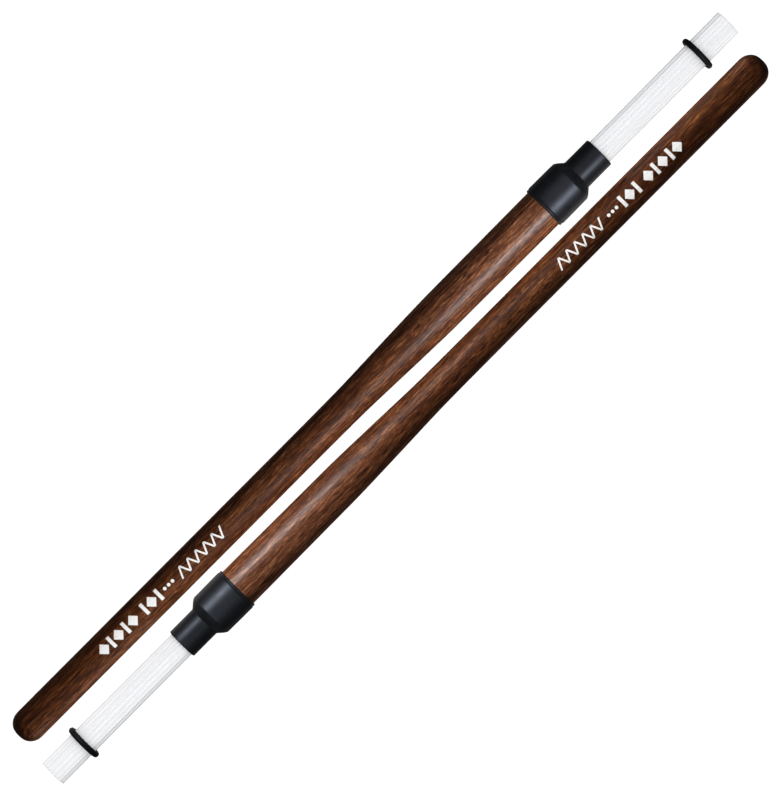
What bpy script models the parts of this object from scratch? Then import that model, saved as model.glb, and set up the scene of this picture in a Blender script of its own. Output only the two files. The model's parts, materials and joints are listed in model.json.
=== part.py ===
"""A pair of rute drum brushes lying side by side, head to tail, on a flat surface.

Each brush is a turned wooden handle whose thicker front end is bored for a bundle of
37 round bristles. The inner bristles are cast into a resin plug at the bottom of that
bore, the outer row stands around the plug, a black rubber collar covers the joint, and
a rubber O-ring grips the bundle. Pushed back towards the collar the O-ring lets the
outer row spread, and pushed towards the tips it gathers them.

Every piece of a brush is modelled along its own +X axis, with x = 0 at the butt end of
the handle and x = LENGTH at the bristle tips. The empties brush_a and brush_b then lay
the two brushes down, each of them resting on its collar and on the end of its grip.
Metres, +Z up, with the origin on the resting surface under the middle of the pair.
"""

import math

import bmesh
import bpy
from mathutils import Matrix, Vector

MM = 0.001

# The pair
LENGTH = 406 * MM
AXIS_SPACING = 20.64 * MM
TIP_OVERHANG = 0.41 * MM  # how far each brush is shifted towards its own tips
HEADINGS = {"a": 0.0, "b": math.pi}  # about +Z

# Facets of the turned pieces: a facet's middle faces straight down on each of them
TURNED_SIDES = 32
BRISTLE_SIDES = 10
SMOOTH_ANGLE = math.radians(35)
MERGE_DISTANCE = 0.001 * MM

# Handle: the butt is a dome with a small flat, the front swells towards the collar
BUTT_FLAT_R = 2.0 * MM
BUTT_DOME = 6.4 * MM
BUTT_DOME_STEPS = 6
GRIP_R = 7.02 * MM
SWELL = [
    (183 * MM, 7.07 * MM),
    (192 * MM, 7.17 * MM),
    (236 * MM, 8.56 * MM),
    (247 * MM, 8.70 * MM),
    (300 * MM, 8.93 * MM),
]
HANDLE_END = 318 * MM
HANDLE_CHAMFER = 2.8 * MM
HANDLE_NOSE_R = 6.75 * MM
BORE_R = 6.12 * MM
BORE_BOTTOM = 301.8 * MM

# Collar: a barrel over the handle's end, a rounded shoulder and a neck over the bristles
COLLAR_REAR = 300.2 * MM
COLLAR_LIP_R = 9.2 * MM
COLLAR_BARREL = 301.1 * MM
COLLAR_BARREL_R = 9.87 * MM
COLLAR_SHOULDER = [
    (314.8 * MM, 9.76 * MM),
    (315.7 * MM, 9.52 * MM),
    (317.0 * MM, 8.82 * MM),
    (319.2 * MM, 7.08 * MM),
    (320.2 * MM, 6.87 * MM),
]
COLLAR_FRONT = 332.4 * MM
COLLAR_FRONT_R = 6.87 * MM
COLLAR_ROUNDING = 0.5 * MM
COLLAR_MOUTH_R = 6.08 * MM
COLLAR_TO_WOOD = 0.1 * MM

# Bristles: a centre one with rows of 6, 12 and 18 around it
BRISTLE_R = 0.78 * MM
BRISTLE_TIP_CHAMFER = 0.2 * MM
BRISTLE_ROOT = 305.6 * MM
BRISTLE_HINGE = 317.6 * MM  # where an outer bristle leaves the plug and starts to bend
OUTER_COUNT = 18
OUTER_ROW_R = 4.94 * MM
OUTER_ROW_START = math.radians(10)
OUTER_FLARE = math.radians(0.12)
INNER_ROWS = [  # count, row radius, angle of the first bristle
    (1, 0.0, 0.0),
    (6, 1.62 * MM, 0.0),
    (12, 3.17 * MM, math.radians(15)),
]

# Resin plug: a disc on the bottom of the bore and a core inside the outer row
PLUG_BACK = 302.1 * MM
PLUG_DISC_FRONT = 305.2 * MM
PLUG_FRONT = 317.2 * MM
PLUG_DISC_R = 5.8 * MM
PLUG_CORE_R = 3.84 * MM
PLUG_SIDES = 24
PLUG_OVERLAP = 1.0 * MM  # how deep the inner bristles stand in the plug's front

# O-ring
RING_X = 388.3 * MM
RING_BORE_R = 6.12 * MM
RING_SECTION_R = 0.95 * MM
RING_SECTION_SIDES = 8

LOOKS = {  # base colour, roughness
    "stained_wood": ((0.105, 0.042, 0.022), 0.38),
    "collar_rubber": ((0.014, 0.015, 0.017), 0.42),
    "ring_rubber": ((0.008, 0.008, 0.009), 0.5),
    "bristle_nylon": ((0.80, 0.82, 0.84), 0.35),
    "plug_resin": ((0.62, 0.52, 0.34), 0.3),
}


def clear_scene():
    for obj in list(bpy.data.objects):
        bpy.data.objects.remove(obj)


def make_material(name):
    colour, roughness = LOOKS[name]
    material = bpy.data.materials.new(name)
    material.use_nodes = True
    shader = material.node_tree.nodes["Principled BSDF"]
    shader.inputs["Base Color"].default_value = (*colour, 1.0)
    shader.inputs["Roughness"].default_value = roughness
    shader.inputs["Metallic"].default_value = 0.0
    return material


def turned_mesh(name, profile, sides, closed=False):
    """The (x, radius) points of a profile spun about +X, with a facet facing down.

    A closed profile is a loop clear of the axis, as for a tube or a ring. An open one
    starts and ends on the axis.
    """
    half_facet = math.pi / sides
    shape = bmesh.new()
    points = [
        shape.verts.new((x, r * math.sin(half_facet), -r * math.cos(half_facet)))
        for x, r in profile
    ]
    ends = points[1:] + points[:1] if closed else points[1:]
    for start, end in zip(points, ends):
        shape.edges.new((start, end))
    bmesh.ops.spin(
        shape,
        geom=shape.verts[:] + shape.edges[:],
        cent=(0, 0, 0),
        axis=(1, 0, 0),
        angle=2 * math.pi,
        steps=sides,
        use_merge=True,
    )
    bmesh.ops.remove_doubles(shape, verts=shape.verts[:], dist=MERGE_DISTANCE)
    bmesh.ops.recalc_face_normals(shape, faces=shape.faces[:])
    mesh = bpy.data.meshes.new(name)
    shape.to_mesh(mesh)
    shape.free()
    mesh.shade_smooth()
    mesh.set_sharp_from_angle(angle=SMOOTH_ANGLE)
    return mesh


def handle_mesh():
    dome = []
    for step in range(BUTT_DOME_STEPS + 1):
        along = 1 - math.cos(math.pi / 2 * step / BUTT_DOME_STEPS)
        out = math.sin(math.pi / 2 * step / BUTT_DOME_STEPS)
        dome.append((BUTT_DOME * along, BUTT_FLAT_R + (GRIP_R - BUTT_FLAT_R) * out))
    nose = [
        (HANDLE_END - HANDLE_CHAMFER, SWELL[-1][1]),
        (HANDLE_END, HANDLE_NOSE_R),
        (HANDLE_END, BORE_R),
        (BORE_BOTTOM, BORE_R),
        (BORE_BOTTOM, 0),
    ]
    return turned_mesh("handle", [(0, 0)] + dome + SWELL + nose, TURNED_SIDES)


def collar_mesh():
    outside = [
        (COLLAR_REAR, COLLAR_LIP_R),
        (COLLAR_BARREL, COLLAR_BARREL_R),
        *COLLAR_SHOULDER,
        (COLLAR_FRONT - COLLAR_ROUNDING, COLLAR_FRONT_R),
        (COLLAR_FRONT, COLLAR_FRONT_R - COLLAR_ROUNDING),
    ]
    inside = [
        (COLLAR_FRONT, COLLAR_MOUTH_R),
        (HANDLE_END + 3 * COLLAR_TO_WOOD, COLLAR_MOUTH_R),
        (HANDLE_END + 3 * COLLAR_TO_WOOD, HANDLE_NOSE_R),
        (HANDLE_END - HANDLE_CHAMFER, SWELL[-1][1] + COLLAR_TO_WOOD),
        (COLLAR_REAR, SWELL[-1][1] + COLLAR_TO_WOOD),
    ]
    return turned_mesh("collar", outside + inside, TURNED_SIDES, closed=True)


def ring_mesh():
    """The O-ring, with its centre at the origin."""
    middle_r = RING_BORE_R + RING_SECTION_R
    section = []
    for step in range(RING_SECTION_SIDES):
        angle = 2 * math.pi * (step + 0.5) / RING_SECTION_SIDES
        section.append(
            (
                RING_SECTION_R * math.cos(angle),
                middle_r + RING_SECTION_R * math.sin(angle),
            )
        )
    return turned_mesh("o_ring", section, TURNED_SIDES, closed=True)


def bristle_mesh(name, root, tip):
    """One bristle along +X between two distances from its origin, cut square."""
    profile = [
        (root, 0),
        (root, BRISTLE_R),
        (tip - BRISTLE_TIP_CHAMFER, BRISTLE_R),
        (tip, BRISTLE_R - BRISTLE_TIP_CHAMFER),
        (tip, 0),
    ]
    return turned_mesh(name, profile, BRISTLE_SIDES)


def plug_mesh():
    profile = [
        (PLUG_BACK, 0),
        (PLUG_BACK, PLUG_DISC_R),
        (PLUG_DISC_FRONT, PLUG_DISC_R),
        (PLUG_DISC_FRONT, PLUG_CORE_R),
        (PLUG_FRONT, PLUG_CORE_R),
        (PLUG_FRONT, 0),
    ]
    return turned_mesh("plug", profile, PLUG_SIDES)


def around_axis(count, row_radius, first_angle):
    """Placements for one row: its turn about the brush's axis and its step outwards."""
    for index in range(count):
        turn = Matrix.Rotation(first_angle + 2 * math.pi * index / count, 4, "X")
        yield turn @ Matrix.Translation((0, 0, row_radius))


def inner_bristles_mesh():
    """The inner rows as separate bristles in one mesh, their roots inside the plug."""
    single = bristle_mesh("inner_bristle", PLUG_FRONT - PLUG_OVERLAP, LENGTH)
    shape = bmesh.new()
    for row in INNER_ROWS:
        for placement in around_axis(*row):
            copy = single.copy()
            copy.transform(placement)
            shape.from_mesh(copy)
            bpy.data.meshes.remove(copy)
    mesh = bpy.data.meshes.new("inner_bristles")
    shape.to_mesh(mesh)
    shape.free()
    return mesh


def add_object(name, mesh, parent, placement=Matrix.Identity(4)):
    obj = bpy.data.objects.new(name, mesh)
    bpy.context.scene.collection.objects.link(obj)
    obj.parent = parent
    obj.matrix_local = placement
    return obj


def add_core(letter, meshes, brush):
    """The plug with the inner bristles joined to it by a Boolean union."""
    bristles = add_object(f"inner_bristles_{letter}", meshes["inner_bristles"], brush)
    bristles.hide_render = True
    bristles.display_type = "WIRE"
    core = add_object(f"bristle_core_{letter}", meshes["plug"], brush)
    union = core.modifiers.new("inner_bristles", "BOOLEAN")
    union.operation = "UNION"
    union.solver = "EXACT"
    union.object = bristles


def add_outer_row(letter, mesh, brush):
    """Each outer bristle turns about its origin, at the point where it leaves the plug."""
    row = around_axis(OUTER_COUNT, OUTER_ROW_R, OUTER_ROW_START)
    for number, placement in enumerate(row, start=1):
        at_hinge = Matrix.Translation((BRISTLE_HINGE, 0, 0)) @ placement
        flare = Matrix.Rotation(-OUTER_FLARE, 4, "Y")
        add_object(f"bristle_{letter}_{number:02d}", mesh, brush, at_hinge @ flare)


def lay_down():
    """Placement of brush a: tips towards +X, on its collar and the end of its grip."""
    facet = math.cos(math.pi / TURNED_SIDES)
    drop = (COLLAR_BARREL_R - GRIP_R) * facet
    tilt = math.atan(drop / (COLLAR_BARREL - BUTT_DOME))
    height = GRIP_R * facet * math.cos(tilt) - BUTT_DOME * math.sin(tilt)
    middle = Vector((LENGTH / 2 * math.cos(tilt), 0, 0))
    place = Vector((TIP_OVERHANG, AXIS_SPACING / 2, height)) - middle
    return Matrix.Translation(place) @ Matrix.Rotation(-tilt, 4, "Y")


def add_brush(letter, meshes):
    brush = add_object(f"brush_{letter}", None, None)
    brush.matrix_world = Matrix.Rotation(HEADINGS[letter], 4, "Z") @ lay_down()
    add_object(f"handle_{letter}", meshes["handle"], brush)
    add_object(f"collar_{letter}", meshes["collar"], brush)
    add_core(letter, meshes, brush)
    add_outer_row(letter, meshes["bristle"], brush)
    ring_place = Matrix.Translation((RING_X, 0, 0))
    add_object(f"o_ring_{letter}", meshes["o_ring"], brush, ring_place)


def main():
    clear_scene()
    meshes = {
        "handle": handle_mesh(),
        "collar": collar_mesh(),
        "plug": plug_mesh(),
        "inner_bristles": inner_bristles_mesh(),
        "bristle": bristle_mesh(
            "bristle", BRISTLE_ROOT - BRISTLE_HINGE, LENGTH - BRISTLE_HINGE
        ),
        "o_ring": ring_mesh(),
    }
    looks = {
        "handle": "stained_wood",
        "collar": "collar_rubber",
        "plug": "plug_resin",
        "inner_bristles": "bristle_nylon",
        "bristle": "bristle_nylon",
        "o_ring": "ring_rubber",
    }
    materials = {name: make_material(name) for name in LOOKS}
    for key, mesh in meshes.items():
        mesh.materials.append(materials[looks[key]])
    for letter in HEADINGS:
        add_brush(letter, meshes)


main()
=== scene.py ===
"""The looks of the pair of rute drum brushes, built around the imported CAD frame.

Each brush has its own frame: x runs along the brush from the butt, y points away from
the other brush and z is the side that faces up. Sizes are in millimetres in that frame
until the meshes are made. Brush b is brush a turned by half a turn.
"""

import json
import math
import random

import bmesh
import bpy
from mathutils import Matrix, Vector, noise


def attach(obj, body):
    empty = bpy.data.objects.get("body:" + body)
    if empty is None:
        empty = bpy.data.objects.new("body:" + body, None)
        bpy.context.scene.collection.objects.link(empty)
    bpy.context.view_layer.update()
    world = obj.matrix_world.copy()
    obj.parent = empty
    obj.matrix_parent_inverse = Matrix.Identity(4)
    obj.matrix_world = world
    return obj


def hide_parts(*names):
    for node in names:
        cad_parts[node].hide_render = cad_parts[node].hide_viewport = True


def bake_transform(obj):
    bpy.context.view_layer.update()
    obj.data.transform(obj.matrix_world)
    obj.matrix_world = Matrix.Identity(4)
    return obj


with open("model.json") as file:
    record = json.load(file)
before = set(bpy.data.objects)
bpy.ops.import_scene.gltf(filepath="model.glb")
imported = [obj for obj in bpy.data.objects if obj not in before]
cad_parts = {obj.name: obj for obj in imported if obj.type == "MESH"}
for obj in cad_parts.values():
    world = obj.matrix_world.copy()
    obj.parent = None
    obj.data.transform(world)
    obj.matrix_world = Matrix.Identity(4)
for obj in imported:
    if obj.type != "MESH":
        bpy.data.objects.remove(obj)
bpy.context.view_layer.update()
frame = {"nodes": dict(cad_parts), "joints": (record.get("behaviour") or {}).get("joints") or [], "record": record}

MM = 0.001
LETTERS = "ab"


# --- The brushes' own frames -------------------------------------------------------

def brush_frame(letter):
    """From the flat at the butt: its place is the origin and x runs away from it."""
    mounts = {mount["name"]: mount for mount in frame["record"]["mounts"]}
    butt = mounts[f"butt_face_{letter}"]
    along = -Vector(butt["axis"]).normalized()
    away = Vector((0, 0, 1)).cross(along).normalized()
    turn = Matrix((along, away, along.cross(away))).transposed().to_4x4()
    return Matrix.Translation(butt["pos_m"]) @ turn


BRUSH = {letter: brush_frame(letter) for letter in LETTERS}


def span(node, letter="a"):
    """Where a CAD node starts and ends along its brush, in millimetres."""
    back = BRUSH[letter].inverted()
    stations = [(back @ vertex.co).x / MM for vertex in frame["nodes"][node].data.vertices]
    return min(stations), max(stations)


HANDLE_END = span("handle_a")[1]
COLLAR_START, COLLAR_END = span("collar_a")
RING_START, RING_END = span("o_ring_a")
CORE_START, BRISTLE_TIP = span("bristle_core_a")
BRISTLE_ROOT = span("bristle_a_01")[0]


def hinge_station():
    """Where the outer bristles start to bend, along brush a."""
    hinges = {joint["child"]: joint for joint in frame["joints"] if joint["type"] == "hinge"}
    return (BRUSH["a"].inverted() @ Vector(hinges["bristle_a_01"]["pos_m"])).x / MM


BRISTLE_HINGE = hinge_station()
# How far the tips are from the middle of the pair, along the row's own x axis.
TIP_FROM_MIDDLE = (BRUSH["a"] @ Vector((BRISTLE_TIP * MM, 0, 0))).x / MM


# --- Shapes ------------------------------------------------------------------------

ROUND_SIDES = 96   # round the handle, the collar and the ring
PLUG_SIDES = 48
ROD_SIDES = 20
ON_AXIS = 1e-6     # a radius below this is a point on the axis
SHARP_ANGLE = 40   # degrees between faces from which an edge is sharp


def curve_through(points, steps):
    """A smooth line through (x, r) points, with a few steps between each two."""
    line = []
    for index in range(len(points) - 1):
        before = points[max(index - 1, 0)]
        start, end = points[index], points[index + 1]
        after = points[min(index + 2, len(points) - 1)]
        for step in range(steps):
            t = step / steps
            line.append(
                tuple(
                    0.5
                    * (
                        2 * b
                        + (c - a) * t
                        + (2 * a - 5 * b + 4 * c - d) * t ** 2
                        + (3 * b - a - 3 * c + d) * t ** 3
                    )
                    for a, b, c, d in zip(before, start, end, after)
                )
            )
    line.append(points[-1])
    return line


def arc(centre, radius, start, end, steps):
    """Points on part of a circle or, with two radii, an ellipse. Angles in degrees."""
    along, out = radius if isinstance(radius, tuple) else (radius, radius)
    points = []
    for step in range(steps + 1):
        angle = math.radians(start + (end - start) * step / steps)
        points.append((centre[0] + along * math.cos(angle), centre[1] + out * math.sin(angle)))
    return points


def turned(name, profile, sides, closed=False, wobble=None):
    """A solid of revolution about the brush's x axis, from (x, r) points in millimetres.

    A closed profile is a tube's or ring's section. An open one starts and ends on the
    axis. wobble(x, angle) adds a little to the radius.
    """
    shape = bmesh.new()
    rings = []
    for x, r in profile:
        if r < ON_AXIS:
            rings.append([shape.verts.new((x * MM, 0, 0))])
            continue
        ring = []
        for side in range(sides):
            angle = 2 * math.pi * side / sides
            out = (r + (wobble(x, angle) if wobble else 0)) * MM
            ring.append(shape.verts.new((x * MM, out * math.sin(angle), out * math.cos(angle))))
        rings.append(ring)
    pairs = list(zip(rings, rings[1:]))
    if closed:
        pairs.append((rings[-1], rings[0]))
    for first, second in pairs:
        for side in range(sides):
            after = (side + 1) % sides
            corners = [first[side % len(first)], second[side % len(second)]]
            if len(second) > 1:
                corners.append(second[after])
            if len(first) > 1:
                corners.append(first[after])
            shape.faces.new(corners)
    bmesh.ops.recalc_face_normals(shape, faces=shape.faces[:])
    mesh = bpy.data.meshes.new(name)
    shape.to_mesh(mesh)
    shape.free()
    mesh.shade_smooth()
    mesh.set_sharp_from_angle(angle=math.radians(SHARP_ANGLE))
    return mesh


def piece(name, mesh, letter, material, place=Matrix.Identity(4)):
    """An object in a brush's frame, with its material."""
    obj = bpy.data.objects.new(name, mesh)
    bpy.context.scene.collection.objects.link(obj)
    obj.matrix_world = BRUSH[letter] @ place
    mesh.materials.clear()
    mesh.materials.append(material)
    return obj


# --- Materials ---------------------------------------------------------------------

SECOND_BRUSH_SHIFT = 11.0     # brush b's patterns start this many cells further on
GLOSS_CHANGE = (16.0, 19.0)   # where the barrel's gloss turns into the neck's, from the rear
PAINTED_TIP_SHADE = (0.55, 0.25)      # from where to where painted shade greys a rod, counted back from the tips


class Look:
    """A Principled material and short calls for the nodes that feed it."""

    def __init__(self, name, **constants):
        self.material = bpy.data.materials.new(name)
        self.material.use_nodes = True
        self.tree = self.material.node_tree
        self.shader = self.tree.nodes["Principled BSDF"]
        for socket, value in constants.items():
            self.shader.inputs[socket.replace("_", " ")].default_value = value
        self.place = self.add("ShaderNodeTexCoord").outputs["Object"]

    def add(self, kind, inputs=None, **settings):
        node = self.tree.nodes.new(kind)
        for key, value in settings.items():
            setattr(node, key, value)
        for key, value in (inputs or {}).items():
            self.feed(node.inputs[key], value)
        return node

    def feed(self, socket, value):
        if isinstance(value, bpy.types.NodeSocket):
            self.tree.links.new(value, socket)
        else:
            socket.default_value = value

    def scaled(self, along, across, shift=0.0):
        """The place in the piece, with so many pattern cells per millimetre."""
        scale = Vector((along, across, across)) / MM
        node = self.add("ShaderNodeMapping", {"Vector": self.place, "Scale": scale})
        node.inputs["Location"].default_value = (shift, shift * 1.7, shift * 2.3)
        return node.outputs["Vector"]

    def along(self):
        """How far along the piece's own x axis, in millimetres."""
        x = self.add("ShaderNodeSeparateXYZ", {"Vector": self.place}).outputs["X"]
        return self.math("MULTIPLY", x, 1 / MM)

    def noise(self, vector, detail=2.0, roughness=0.5, distortion=0.0):
        inputs = {
            "Vector": vector,
            "Scale": 1.0,
            "Detail": detail,
            "Roughness": roughness,
            "Distortion": distortion,
        }
        return self.add("ShaderNodeTexNoise", inputs).outputs["Fac"]

    def ramp(self, factor, *stops):
        """Colours or grey levels against a 0 to 1 value."""
        node = self.add("ShaderNodeValToRGB", {"Fac": factor})
        elements = node.color_ramp.elements
        while len(elements) < len(stops):
            elements.new(0.5)
        for element, (position, colour) in zip(elements, stops):
            element.position = position
            if not isinstance(colour, tuple):
                colour = (colour, colour, colour)
            element.color = (*colour, 1.0)
        return node.outputs["Color"]

    def remap(self, value, low, high, to_low, to_high):
        inputs = {
            "Value": value,
            "From Min": low,
            "From Max": high,
            "To Min": to_low,
            "To Max": to_high,
        }
        return self.add("ShaderNodeMapRange", inputs).outputs["Result"]

    def mix(self, factor, first, second, blend="MIX"):
        node = self.add("ShaderNodeMix", data_type="RGBA", blend_type=blend)
        self.feed(node.inputs["Factor"], factor)
        for key, value in (("A", first), ("B", second)):
            socket = next(s for s in node.inputs if s.name == key and s.type == "RGBA")
            self.feed(socket, (*value, 1.0) if isinstance(value, tuple) else value)
        return next(s for s in node.outputs if s.type == "RGBA")

    def math(self, operation, first, second):
        node = self.add("ShaderNodeMath", operation=operation)
        self.feed(node.inputs[0], first)
        self.feed(node.inputs[1], second)
        return node.outputs[0]

    def bump(self, height, depth_mm, before=None):
        inputs = {"Height": height, "Distance": depth_mm * MM, "Strength": 1.0}
        if before is not None:
            inputs["Normal"] = before
        return self.add("ShaderNodeBump", inputs).outputs["Normal"]

    def finish(self, **links):
        for socket, value in links.items():
            self.tree.links.new(value, self.shader.inputs[socket.replace("_", " ")])
        return self.material


def wood(name, shift):
    """Dark-stained, fine-pored wood under a satin lacquer, its grain along the brush."""
    look = Look(name, Specular_IOR_Level=0.38)
    drift = look.noise(look.scaled(0.012, 0.10, shift), detail=1.0)
    bands = look.noise(look.scaled(0.020, 0.35, shift + 3.1), detail=3.0, distortion=0.3)
    streaks = look.noise(look.scaled(0.075, 0.95, shift + 7.7), detail=3.0, roughness=0.6)
    flecks = look.noise(look.scaled(0.24, 1.45, shift + 2.6), detail=2.0, roughness=0.65)
    fibres = look.noise(look.scaled(0.16, 5.0, shift + 1.3), detail=2.0)
    pores = look.noise(look.scaled(0.15, 2.0, shift + 5.9), detail=1.0)
    lines = look.noise(look.scaled(0.012, 1.3, shift + 8.8), detail=0.0)
    breaks = look.noise(look.scaled(0.30, 0.30, shift + 6.4), detail=0.0)
    specks = look.noise(look.scaled(2.4, 2.4, shift + 9.7), detail=0.0)
    sparks = look.noise(look.scaled(0.30, 1.8, shift + 4.5), detail=1.0)

    figure = look.math("MULTIPLY", bands, 0.26)
    figure = look.math("ADD", figure, look.math("MULTIPLY", streaks, 0.36))
    figure = look.math("ADD", figure, look.math("MULTIPLY", flecks, 0.38))
    base = look.ramp(
        figure,
        (0.36, (0.044, 0.0104, 0.0036)),
        (0.44, (0.098, 0.0262, 0.0086)),
        (0.50, (0.162, 0.0485, 0.0158)),
        (0.56, (0.260, 0.0855, 0.0295)),
        (0.64, (0.460, 0.1780, 0.0680)),
    )
    fibre_shade = look.ramp(fibres, (0.30, 0.72), (0.70, 1.26))
    pore_shade = look.ramp(pores, (0.33, 0.34), (0.41, 1.0))
    line_cut = look.ramp(lines, (0.27, 0.22), (0.31, 1.0))
    line_shade = look.mix(look.ramp(breaks, (0.44, 0.0), (0.52, 1.0)), line_cut, (1.0, 1.0, 1.0))
    spark_shade = look.ramp(sparks, (0.62, 1.0), (0.74, (1.75, 1.90, 2.00)))
    speck_shade = look.ramp(specks, (0.30, 0.80), (0.70, 1.20))
    warmth = look.ramp(drift, (0.35, (0.96, 0.92, 0.88)), (0.65, (1.04, 1.06, 1.08)))
    # Painted shade and tint along the handle: yellower at the butt, darker over the grip and bluer towards the
    # swell. This stands in for how light and gloss fall along the brush.
    painted_shade_along = look.ramp(
        look.math("DIVIDE", look.along(), HANDLE_END),
        (0.17, (0.94, 0.87, 0.65)),
        (0.26, (1.02, 1.00, 0.92)),
        (0.42, (0.84, 0.82, 0.78)),
        (0.62, (0.84, 0.82, 0.78)),
        (0.80, (1.00, 1.08, 1.32)),
    )
    colour = base
    for shade in (fibre_shade, pore_shade, line_shade, spark_shade, speck_shade, warmth, painted_shade_along):
        colour = look.mix(1.0, colour, shade, "MULTIPLY")

    roughness = look.remap(figure, 0.4, 0.6, 0.46, 0.41)
    grain = look.math("ADD", look.math("MULTIPLY", fibres, 0.4), look.math("MULTIPLY", flecks, 0.6))
    normal = look.bump(grain, 0.006)
    normal = look.bump(pore_shade, 0.006, normal)
    return look.finish(Base_Color=colour, Roughness=roughness, Normal=normal)


def black_rubber(name, base, lift, shine, gloss, shift):
    """Moulded black rubber with a faint bloom, a fine skin and a little dust.

    base and lift are its darkest and palest colours and shine is its lowest roughness.
    gloss is its specular level, or two levels, on the collar's barrel and on the neck.
    """
    look = Look(
        name,
        Specular_IOR_Level=gloss[0] if isinstance(gloss, tuple) else gloss,
        Specular_Tint=(0.74, 0.82, 1.0, 1.0),
        Sheen_Weight=0.12,
        Sheen_Roughness=0.35,
    )
    bloom = look.noise(look.scaled(0.25, 0.25, shift), detail=4.0, roughness=0.6)
    skin = look.noise(look.scaled(4.0, 4.0, shift + 2.0), detail=2.0)
    specks = look.noise(look.scaled(1.6, 1.6, shift + 4.0), detail=1.0)
    colour = look.mix(look.remap(bloom, 0.35, 0.75, 0.0, 1.0), base, lift)
    dust = look.ramp(specks, (0.70, 0.0), (0.78, 0.05))
    colour = look.mix(dust, colour, (0.30, 0.30, 0.29))
    roughness = look.remap(bloom, 0.3, 0.7, shine, shine + 0.05)
    links = {"Base_Color": colour, "Roughness": roughness, "Normal": look.bump(skin, 0.006)}
    if isinstance(gloss, tuple):
        barrel_ends, neck_starts = (COLLAR_START + x for x in GLOSS_CHANGE)
        links["Specular_IOR_Level"] = look.remap(look.along(), barrel_ends, neck_starts, *gloss)
    return look.finish(**links)


def nylon(name, shift):
    """Slightly translucent white nylon rod, drawn lengthways, with painted shade near the cut.

    A rod whose place is baked into its mesh has the row frame's coordinates, so its tip
    is known by how far it is from the middle of the pair.
    """
    look = Look(
        name,
        IOR=1.53,
        Specular_IOR_Level=0.25,
        Subsurface_Weight=0.1,
        Subsurface_Radius=(1.0, 1.0, 1.0),
        Subsurface_Scale=0.3 * MM,
    )
    cloud = look.noise(look.scaled(0.02, 0.4, shift), detail=1.0)
    drawn = look.noise(look.scaled(0.02, 0.9, shift + 2.2), detail=0.0)
    colour = look.ramp(cloud, (0.3, (0.88, 0.885, 0.90)), (0.7, (0.92, 0.925, 0.94)))
    lines = look.ramp(drawn, (0.3, 0.985), (0.6, 1.0))
    from_middle = look.math("ABSOLUTE", look.along(), 0.0)
    tip_shade_starts, tip_shade_ends = (TIP_FROM_MIDDLE - x for x in PAINTED_TIP_SHADE)
    # Painted shade: the rod's colour darkens to 0.78 just before its tip.
    cut = look.remap(from_middle, tip_shade_starts, tip_shade_ends, 1.0, 0.78)
    colour = look.mix(1.0, colour, lines, "MULTIPLY")
    colour = look.mix(1.0, colour, cut, "MULTIPLY")
    roughness = look.remap(drawn, 0.3, 0.7, 0.46, 0.40)
    return look.finish(Base_Color=colour, Roughness=roughness, Normal=look.bump(drawn, 0.001))


def ink(name, shift):
    """White printing ink, a little worn and thinner along the grain."""
    look = Look(name)
    wear = look.noise(look.scaled(0.5, 3.0, shift), detail=4.0, roughness=0.65)
    colour = look.ramp(
        wear,
        (0.30, (0.42, 0.36, 0.32)),
        (0.40, (0.80, 0.79, 0.77)),
        (0.60, (0.88, 0.88, 0.87)),
    )
    roughness = look.remap(wear, 0.3, 0.7, 0.6, 0.4)
    return look.finish(Base_Color=colour, Roughness=roughness, Normal=look.bump(wear, 0.01))


def resin(name):
    """Poured amber resin with small clouds and bubbles."""
    look = Look(name, IOR=1.5)
    clouds = look.noise(look.scaled(0.4, 0.4), detail=3.0)
    bubbles = look.noise(look.scaled(2.4, 2.4, 1.0), detail=1.0)
    colour = look.ramp(clouds, (0.3, (0.50, 0.38, 0.20)), (0.7, (0.68, 0.56, 0.36)))
    roughness = look.remap(clouds, 0.3, 0.7, 0.22, 0.34)
    return look.finish(Base_Color=colour, Roughness=roughness, Normal=look.bump(bubbles, 0.02))


# --- Handle ------------------------------------------------------------------------

BUTT_FLAT = 1.3
BUTT_DOME = 6.4
GRIP_R = 7.02
SWELL = [
    (150.0, 7.02), (165.0, 7.02), (180.0, 7.06), (190.0, 7.14), (198.0, 7.35), (210.0, 7.77),
    (222.0, 8.16), (233.0, 8.49), (239.5, 8.63), (246.0, 8.69), (262.0, 8.76), (282.0, 8.85),
    (302.0, 8.93),
]
SWELL_LINE = curve_through(SWELL, 6)
NOSE_CHAMFER = 2.8
NOSE_R = 6.75
BORE_R = 6.12
BORE_DEPTH = 16.2
DOME_STEPS = 14
GRIP_STEPS = 24
SANDING_DEPTH = 0.025
SANDING_LENGTHS = 0.03   # patches in each millimetre along the handle
SANDING_ROUND = 0.8      # how quickly the patches change round the handle


def handle_mesh(name):
    """The butt, the grip and the swell up to the collar, then the nose and its bore."""
    dome = arc((BUTT_DOME, BUTT_FLAT), (-BUTT_DOME, GRIP_R - BUTT_FLAT), 0, 90, DOME_STEPS)
    straight = SWELL[0][0] - BUTT_DOME
    grip = [(BUTT_DOME + straight * step / GRIP_STEPS, GRIP_R) for step in range(1, GRIP_STEPS)]
    nose = [
        (HANDLE_END - NOSE_CHAMFER, SWELL[-1][1]),
        (HANDLE_END, NOSE_R),
        (HANDLE_END, BORE_R),
        (HANDLE_END - BORE_DEPTH, BORE_R),
        (HANDLE_END - BORE_DEPTH, 0),
    ]
    face = [(0, 0), (0, BUTT_FLAT * 0.5)]

    def hand_turned(x, angle):
        """The trace of sanding: a few hundredths of a millimetre, none inside the collar."""
        if x > COLLAR_START:
            return 0.0
        across = Vector((0, math.sin(angle), math.cos(angle))) * SANDING_ROUND
        return SANDING_DEPTH * noise.noise(across + Vector((x * SANDING_LENGTHS, 0, 0)))

    return turned(name, face + dome + grip + SWELL_LINE + nose, ROUND_SIDES, wobble=hand_turned)


# --- Collar ------------------------------------------------------------------------

BARREL_R = 9.87
BARREL_FRONT_R = 9.77
NECK_R = 6.90
MOUTH_R = 6.87
MOUTH_BORE = 6.02


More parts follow.
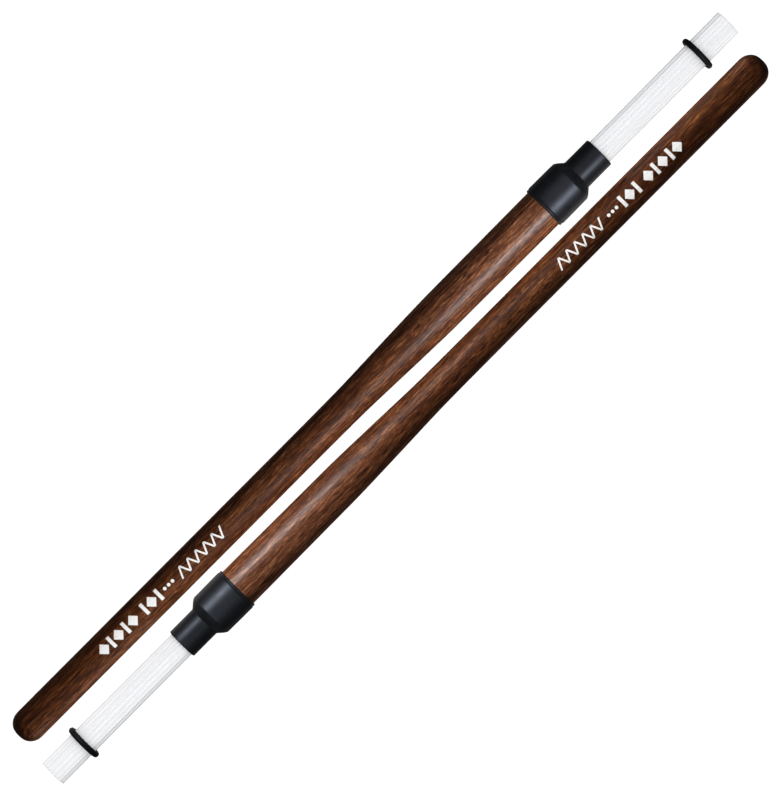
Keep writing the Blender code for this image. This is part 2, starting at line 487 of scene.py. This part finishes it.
def collar_mesh(name):
    """x counts from the collar's rear edge: a lip, a fine groove, the barrel, the
    shoulder and the neck, then back through the bore."""
    lip = [
        (0.0, 9.05), (0.0, 9.30), (0.10, 9.50), (0.28, 9.66), (0.48, 9.74), (0.68, 9.74),
        (0.84, 9.66), (0.94, 9.56), (1.08, 9.54), (1.22, 9.62),
    ]
    rear_round = arc((1.62, BARREL_R - 0.35), (-0.35, 0.35), 30, 90, 5)
    barrel = [(4.0, 9.865), (7.0, 9.85), (10.0, 9.82), (13.2, 9.785)]
    edge = arc((15.1, BARREL_FRONT_R - 1.6), 1.6, 88, 60, 5)
    shoulder = [(16.45, 9.19), (16.95, 8.82), (17.7, 8.19), (18.35, 7.61)]
    fillet = arc((19.45, NECK_R + 0.8), 0.8, 232, 270, 6)
    neck = [(20.4, 6.885), (21.5, 6.87), (24.0, 6.86), (28.0, 6.865)]
    length = COLLAR_END - COLLAR_START
    mouth = arc((length - 0.45, MOUTH_R - 0.45), 0.45, 90, 0, 5)
    inner_lip = arc((length - 0.2, MOUTH_BORE + 0.2), (0.2, -0.2), 0, 90, 3)
    wood_end = HANDLE_END - COLLAR_START
    inside = [
        (wood_end + 0.3, MOUTH_BORE),
        (wood_end + 0.3, NOSE_R),
        (wood_end - NOSE_CHAMFER, SWELL[-1][1] + 0.1),
        (0.3, SWELL[-1][1] + 0.1),
    ]
    outside = lip + rear_round + barrel + edge + shoulder + fillet + neck
    profile = [(COLLAR_START + x, r) for x, r in outside + mouth + inner_lip + inside]
    return turned(name, profile, ROUND_SIDES, closed=True)


# --- O-ring ------------------------------------------------------------------------

RING_MIDDLE_R = 7.02
RING_HALF_HEIGHT = 1.0
RING_HALF_WIDTH = 1.26
RING_FLASH = 0.035   # how far its parting line stands out
RING_STEPS = 24      # round its section, with the parting line a quarter of the way


def ring_mesh(name):
    """A slightly squeezed round section with a faint parting line round the outside."""
    section = []
    for step in range(RING_STEPS):
        angle = 2 * math.pi * step / RING_STEPS
        flash = RING_FLASH if step == RING_STEPS // 4 else 0.0
        x = RING_HALF_WIDTH * math.cos(angle)
        section.append((x, RING_MIDDLE_R + (RING_HALF_HEIGHT + flash) * math.sin(angle)))
    return turned(name, section, ROUND_SIDES, closed=True)


# --- Bristles ----------------------------------------------------------------------

BRISTLE_R = 0.80
ROWS = [  # count, row radius, first angle in degrees, share of the outer row's spreading
    (1, 0.0, 0.0, 0.0),
    (6, 1.62, 0.0, 0.33),
    (12, 3.19, 15.0, 0.66),
    (18, 4.94, 10.0, 1.0),
]
OUTER_FLARE = 0.12             # degrees that the outer row leans out at rest
ROD_EDGE = 0.14                # the softened edge of a cut end
ROD_STEPS = 16
CUT_SCATTER = (-0.08, 0.04)    # how much shorter or longer a rod may be cut
BOW = 0.06                     # the most that a rod's tip bows to a side
BOW_START = 0.3                # the share of a rod's length that stays straight


def bristle_profile(length):
    """One rod with a slightly softened cut at both ends, from its root at x = 0."""
    inner, middle = BRISTLE_R * 0.6, BRISTLE_R - ROD_EDGE
    root = [(0, 0), (0, inner)] + arc((ROD_EDGE, middle), (-ROD_EDGE, ROD_EDGE), 0, 90, 3)
    shank = [(length * step / ROD_STEPS, BRISTLE_R) for step in range(1, ROD_STEPS)]
    tip = arc((length - ROD_EDGE, middle), ROD_EDGE, 90, 0, 3)
    return root + shank + tip + [(length, inner), (length, 0)]


def bristle_mesh(name, seed):
    """A rod with a barely visible bow of its own, cut a little long or short."""
    chance = random.Random(seed)
    length = BRISTLE_TIP - BRISTLE_ROOT + chance.uniform(*CUT_SCATTER)
    bow = Vector((0, chance.uniform(-BOW, BOW), chance.uniform(-BOW, BOW)))
    mesh = turned(name, bristle_profile(length), ROD_SIDES)
    for vertex in mesh.vertices:
        free = max(0.0, vertex.co.x / MM / length - BOW_START) / (1 - BOW_START)
        vertex.co += bow * MM * free ** 2
    return mesh


def nearest_outer(angle):
    """The number of the outer bristle that stands closest to an angle in degrees."""
    count, _, first, _ = ROWS[-1]
    return round((angle - first) * count / 360) % count + 1


def add_bristle(letter, row, index, material):
    """One rod at its root's place, which hides the CAD bristle that stands closest to it, or the core for an inner
    row.
    """
    count, radius, first, share = ROWS[row]
    angle = first + 360 * index / count
    name = f"rod_{letter}_{row}_{index + 1:02d}"
    seed = 1000 * row + 10 * index + LETTERS.index(letter)
    mesh = bristle_mesh(name, seed)
    place = (
        Matrix.Rotation(math.radians(angle), 4, "X")
        @ Matrix.Translation(Vector((BRISTLE_HINGE, 0, radius)) * MM)
        @ Matrix.Rotation(-math.radians(OUTER_FLARE * share), 4, "Y")
        @ Matrix.Translation(Vector((BRISTLE_ROOT - BRISTLE_HINGE, 0, 0)) * MM)
    )
    rod = piece(name, mesh, letter, material, place)
    outer = f"bristle_{letter}_{nearest_outer(angle):02d}"
    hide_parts(outer if share == 1 else f"bristle_core_{letter}")
    if share == 0:
        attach(rod, f"brush_{letter}")
        return rod
    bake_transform(rod)
    return rod


# --- Resin plug --------------------------------------------------------------------

PLUG_DISC = 3.1
PLUG_DISC_R = 5.8
PLUG_CORE_R = 3.84
PLUG_ROUND = 0.4
PLUG_BEVEL = 0.3
PLUG_SHORT = 0.4   # how far the core stops before the outer rods start to bend


def plug_mesh(name):
    """The disc in the bottom of the bore and the core that fills the outer row."""
    start, front = CORE_START, BRISTLE_HINGE - PLUG_SHORT
    profile = [
        (start, 0),
        (start, PLUG_DISC_R - PLUG_ROUND),
        (start + PLUG_ROUND, PLUG_DISC_R),
        (start + PLUG_DISC, PLUG_DISC_R),
        (start + PLUG_DISC, PLUG_CORE_R + PLUG_BEVEL),
        (start + PLUG_DISC + PLUG_BEVEL, PLUG_CORE_R),
        (front - PLUG_BEVEL, PLUG_CORE_R),
        (front, PLUG_CORE_R - PLUG_BEVEL),
        (front, 0),
    ]
    return turned(name, profile, PLUG_SIDES)


# --- Print -------------------------------------------------------------------------

PRINT_START = 47.0
PRINT_HEIGHT = 5.6
BAR = 1.5
LOZENGE = 5.2
MARK_GAP = 0.75
GROUP_GAP = 2.4
DOT_R = 0.75
DOT_GAP = 0.7
DOT_SIDES = 20
DOTS_BACK = 1.2        # how far the dots stand back into the gap before them
ZIGZAG_LEAD = 1.0
ZIGZAG_STROKE = 0.62
ZIGZAG_WIDEN = 1.3     # a slanted stroke is this much wider along the brush
ZIGZAG_PITCH = 4.6
ZIGZAG_FOLDS = 11
INK_ABOVE = 0.035
INK_BELOW = 0.03
INK_STRIP = 0.4        # the film is cut in strips this wide, so that it bends round


def lozenge(x):
    half = PRINT_HEIGHT / 2
    return [(x, 0), (x + LOZENGE / 2, -half), (x + LOZENGE, 0), (x + LOZENGE / 2, half)]


def bar(x):
    half = PRINT_HEIGHT / 2
    return [(x, -half), (x + BAR, -half), (x + BAR, half), (x, half)]


def dot(x):
    turns = [2 * math.pi * side / DOT_SIDES for side in range(DOT_SIDES)]
    return [(x + DOT_R * (1 + math.cos(turn)), DOT_R * math.sin(turn)) for turn in turns]


def zigzag(x):
    """A folded stroke as a chain of slanted quads."""
    half = PRINT_HEIGHT / 2 - ZIGZAG_STROKE / 2
    wide = ZIGZAG_STROKE * ZIGZAG_WIDEN / 2
    shapes = []
    for fold in range(ZIGZAG_FOLDS):
        y0, y1 = (-half, half) if fold % 2 == 0 else (half, -half)
        x0 = x + fold * ZIGZAG_PITCH / 2
        x1 = x0 + ZIGZAG_PITCH / 2
        shapes.append([(x0 - wide, y0), (x0 + wide, y0), (x1 + wide, y1), (x1 - wide, y1)])
    return shapes


def print_shapes():
    """A border of plain geometric marks: two groups of lozenges (L) and bars (B), three
    dots and a zigzag."""
    shapes = []
    x = PRINT_START
    for group in ("LBLBL", "BLB"):
        for mark in group:
            shapes.append(lozenge(x) if mark == "L" else bar(x))
            x += (LOZENGE if mark == "L" else BAR) + MARK_GAP
        x += GROUP_GAP
    for _ in range(3):
        shapes.append(dot(x - DOTS_BACK))
        x += 2 * DOT_R + DOT_GAP
    return shapes + zigzag(x + ZIGZAG_LEAD)


def print_mesh(name):
    """The marks as thin films of ink bent round the handle."""
    shape = bmesh.new()
    for outline in print_shapes():
        shape.faces.new([shape.verts.new((x, y, -INK_BELOW)) for x, y in outline])
    bmesh.ops.remove_doubles(shape, verts=shape.verts[:], dist=1e-4)
    cuts = round(PRINT_HEIGHT / 2 / INK_STRIP)
    for cut in range(-cuts, cuts + 1):
        bmesh.ops.bisect_plane(
            shape,
            geom=shape.verts[:] + shape.edges[:] + shape.faces[:],
            plane_co=(0, cut * INK_STRIP, 0),
            plane_no=(0, 1, 0),
            dist=1e-5,
        )
    raised = bmesh.ops.extrude_face_region(shape, geom=shape.faces[:])
    for element in raised["geom"]:
        if isinstance(element, bmesh.types.BMVert):
            element.co.z = INK_ABOVE
    bmesh.ops.recalc_face_normals(shape, faces=shape.faces[:])
    for vertex in shape.verts:
        x, y, out = vertex.co
        angle = y / GRIP_R
        r = GRIP_R + out
        vertex.co = Vector((x, r * math.sin(angle), r * math.cos(angle))) * MM
    mesh = bpy.data.meshes.new(name)
    shape.to_mesh(mesh)
    shape.free()
    return mesh


# --- The two brushes ---------------------------------------------------------------

OUTERMOST = 0.75   # rods this far out on the side away from the other brush get less light


def add_brush(letter):
    """All the pieces of one brush, by the names that its lights know them by."""
    body = f"brush_{letter}"
    shift = SECOND_BRUSH_SHIFT * LETTERS.index(letter)
    handle = piece(
        f"turned_handle_{letter}", handle_mesh("handle"), letter,
        wood(f"stained_wood_{letter}", shift),
    )
    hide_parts(f"handle_{letter}")
    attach(handle, body)
    collar_rubber = black_rubber(
        f"collar_rubber_{letter}", (0.0055, 0.0057, 0.0066), (0.0090, 0.0095, 0.0110),
        0.42, (0.37, 0.25), shift,
    )
    ring_rubber = black_rubber(
        f"ring_rubber_{letter}", (0.0022, 0.0022, 0.0025), (0.0036, 0.0036, 0.0040),
        0.60, 0.16, shift + 5,
    )
    collar = piece(
        f"moulded_collar_{letter}", collar_mesh("collar"), letter,
        collar_rubber,
    )
    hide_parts(f"collar_{letter}")
    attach(collar, body)
    ring_place = Matrix.Translation(((RING_START + RING_END) / 2 * MM, 0, 0))
    ring = piece(
        f"rubber_ring_{letter}", ring_mesh("ring"), letter,
        ring_rubber, ring_place,
    )
    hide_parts(f"o_ring_{letter}")
    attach(ring, f"o_ring_{letter}")
    plug = piece(
        f"resin_plug_{letter}", plug_mesh("plug"), letter,
        resin(f"resin_{letter}"),
    )
    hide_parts(f"bristle_core_{letter}")
    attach(plug, body)
    marks = piece(
        f"ink_marks_{letter}", print_mesh("print"), letter,
        ink(f"white_ink_{letter}", shift),
    )
    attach(marks, body)
    rod_look = nylon(f"nylon_{letter}", shift)
    rods, lit_rods = [], []
    for row, (count, _, first, share) in enumerate(ROWS):
        for index in range(count):
            rod = add_bristle(letter, row, index, rod_look)
            rods.append(rod)
            sideways = -share * math.sin(math.radians(first + 360 * index / count))
            if sideways < OUTERMOST:
                lit_rods.append(rod)
    return {
        "wood": [handle],
        "rubber": [collar, ring],
        "marks": [marks],
        "plug": [plug],
        "rods": rods,
        "lit_rods": lit_rods,
    }


# --- Camera, floor and light -------------------------------------------------------

CAMERA_DISTANCE = 2.1   # metres, as are the sizes below
VIEW_FIELD = 0.32294    # across the picture's long side, at the brushes' height
VIEW_TURN = -45.13      # degrees
VIEW_AIM = Vector((-0.74, -0.38, 0)) * MM
SENSOR = 36
FLOOR_EDGE = 3.0
WALL_CURVE = 3.0
STAGE_SIDES = 64
FLOOR_LIGHT_HEIGHT = 3.0
COLLAR_STATION = 0.31   # along a brush, where the lights that shape its collar aim
HANDLE_STATION = 0.16
PRINT_STATION = 0.085
BRISTLE_STATION = 0.37


def add_camera():
    data = bpy.data.cameras.new("camera")
    data.sensor_width = SENSOR
    data.lens = data.sensor_width * CAMERA_DISTANCE / VIEW_FIELD
    data.clip_end = 100
    camera = bpy.data.objects.new("camera", data)
    middle = BRUSH["a"] @ Vector((BRISTLE_TIP / 2 * MM, 0, 0))
    camera.location = VIEW_AIM + Vector((0, 0, middle.z + CAMERA_DISTANCE))
    camera.rotation_euler = (0, 0, math.radians(VIEW_TURN))
    bpy.context.scene.collection.objects.link(camera)
    bpy.context.scene.camera = camera


def plain_look(name, glow=0.0):
    """A matt pale surface with the faintest mottling. A glow shows but lights nothing."""
    look = Look(name, Roughness=0.9, Emission_Strength=glow)
    mottle = look.noise(look.scaled(0.002, 0.002), detail=2.0)
    colour = look.ramp(mottle, (0.3, 0.847), (0.7, 0.86))
    look.material.cycles.emission_sampling = "NONE"
    return look.finish(Base_Color=colour, Emission_Color=colour)


def stage_piece(name, profile, material):
    """A round piece of the studio from (r, z) points in metres. It shows to the camera,
    but neither lights the object nor shows in its gloss."""
    shape = bmesh.new()
    rings = []
    for r, z in profile:
        sides = 1 if r == 0 else STAGE_SIDES
        turns = [2 * math.pi * side / sides for side in range(sides)]
        rings.append([shape.verts.new((r * math.cos(t), r * math.sin(t), z)) for t in turns])
    for first, second in zip(rings, rings[1:]):
        for side in range(STAGE_SIDES):
            after = (side + 1) % STAGE_SIDES
            corners = [first[side % len(first)], second[side], second[after]]
            if len(first) > 1:
                corners.append(first[after])
            shape.faces.new(corners)
    mesh = bpy.data.meshes.new(name)
    shape.to_mesh(mesh)
    shape.free()
    mesh.shade_smooth()
    mesh.materials.append(material)
    obj = bpy.data.objects.new(name, mesh)
    bpy.context.scene.collection.objects.link(obj)
    obj.visible_diffuse = False
    obj.visible_glossy = False
    return obj


def add_floor():
    """A wide pale floor, and a glowing wall that curves up from its edge."""
    bend = [math.radians(angle) for angle in range(0, 100, 10)]
    wall = [
        (FLOOR_EDGE + WALL_CURVE * math.sin(t), WALL_CURVE * (1 - math.cos(t))) for t in bend
    ]
    wall.append((FLOOR_EDGE + WALL_CURVE, 2 * WALL_CURVE))
    stage_piece("backdrop", wall, plain_look("lit_wall", glow=1.0))
    floor = [(0.0, 0.0), (1.0, 0.0), (FLOOR_EDGE, 0.0)]
    return stage_piece("floor", floor, plain_look("pale_floor"))


def softbox(
    name, place, target, size, power, lit, shadow_of=None, gloss=True, soft_gaps=False
):
    """An area light at a place, facing a target, that lights only the objects named.

    size is its length along the brushes and its width across them. shadow_of names the
    only objects that block it, in place of all of them. With soft_gaps the other objects
    still take a little of it from the gaps between them. Without gloss it gives diffuse
    light only.
    """
    data = bpy.data.lights.new(name, "AREA")
    data.shape = "RECTANGLE"
    data.size, data.size_y = size
    data.energy = power
    light = bpy.data.objects.new(name, data)
    back = (place - target).normalized()
    across = back.cross(Vector((1, 0, 0))).normalized()
    turn = Matrix((across.cross(back), across, back)).transposed().to_4x4()
    light.matrix_world = Matrix.Translation(place) @ turn
    bpy.context.scene.collection.objects.link(light)
    light.visible_glossy = gloss
    data.cycles.use_multiple_importance_sampling = shadow_of is None or soft_gaps
    light.light_linking.receiver_collection = group_of(f"{name}_lit", lit)
    if shadow_of is not None:
        light.light_linking.blocker_collection = group_of(f"{name}_blocked", shadow_of)


def group_of(name, objects):
    group = bpy.data.collections.new(name)
    for obj in objects:
        group.objects.link(obj)
    return group


def lean(degrees, distance, station):
    """A place round the brush: degrees from straight up, positive away from the other brush."""
    angle = math.radians(degrees)
    return Vector((station, distance * math.sin(angle), distance * math.cos(angle)))


def light_brush(letter, parts):
    """The lights of one brush.

    The key is small and stands on the other brush's side. A weak fill lights the wood
    from opposite, a soft light over the tips draws the rubber's broad sheen, and rims
    pick out the rubber's lower edges. A bounce from below lights the handle's outer side,
    and the print has a light from above. A tent of four wide panels and one extra lights
    the bristles evenly, and only the top one shows in their gloss.
    """
    wood, rubber, marks, rods = parts["wood"], parts["rubber"], parts["marks"], parts["rods"]
    solid = wood + rubber + marks + parts["plug"]

    def light(name, degrees, distance, station, aim, size, power, lit, **how):
        place = BRUSH[letter] @ lean(degrees, distance, station)
        target = BRUSH[letter] @ Vector((aim, 0, 0))
        softbox(f"{name}_{letter}", place, target, size, power, lit, **how)

    light("key", -38.5, 0.38, 0.325, COLLAR_STATION, (0.10, 0.035), 1.47, solid)
    light("fill", 35, 0.20, 0.30, COLLAR_STATION, (0.15, 0.15), 0.035, wood + marks, gloss=False)
    light("soft", 20, 0.50, 0.42, COLLAR_STATION, (0.25, 0.45), 0.60, rubber)
    for name, degrees, power in (("rim", -132, 0.14), ("rim_away", 132, 0.02)):
        light(
            name, degrees, 0.30, COLLAR_STATION, COLLAR_STATION, (0.30, 0.20), power, rubber,
            shadow_of=rubber,
        )
    light(
        "bounce", 125, 0.30, HANDLE_STATION, HANDLE_STATION, (0.50, 0.20), 0.19, wood + marks,
        shadow_of=rubber, gloss=False,
    )
    light(
        "print", 0, 0.50, PRINT_STATION, PRINT_STATION, (0.40, 0.40), 1.75, marks,
        gloss=False,
    )
    for name, degrees, power, lit in (
        ("rod_top", 0, 16.3, rods),
        ("rod_side", -90, 16.0, rods),
        ("rod_under", 180, 12.7, rods),
        ("rod_away", 90, 5.8, rods),
        ("rod_extra", 90, 7.6, parts["lit_rods"]),
    ):
        light(
            name, degrees, 0.80, BRISTLE_STATION, BRISTLE_STATION, (3.2, 1.6), power, lit,
            shadow_of=rubber, gloss=name == "rod_top", soft_gaps=True,
        )


def add_stage(brushes):
    """The floor with its own lights, each brush's lights, and a faint even sky.

    The brushes don't block the floor's main light. The weak one gives them a faint shadow.
    """
    floor = add_floor()
    above, middle = Vector((0, 0, FLOOR_LIGHT_HEIGHT)), Vector((0, 0, 0))
    softbox("floor_light", above, middle, (12.0, 12.0), 656.0, [floor], shadow_of=[floor])
    softbox("floor_shade", above, middle, (5.0, 5.0), 8.0, [floor])
    for letter, parts in brushes.items():
        light_brush(letter, parts)
    world = bpy.data.worlds.new("studio")
    world.use_nodes = True
    background = world.node_tree.nodes["Background"]
    background.inputs["Color"].default_value = (0.95, 0.97, 1.0, 1.0)
    background.inputs["Strength"].default_value = 0.05
    bpy.context.scene.world = world
    bpy.context.scene.view_settings.view_transform = "Standard"


add_camera()
add_stage({letter: add_brush(letter) for letter in LETTERS})
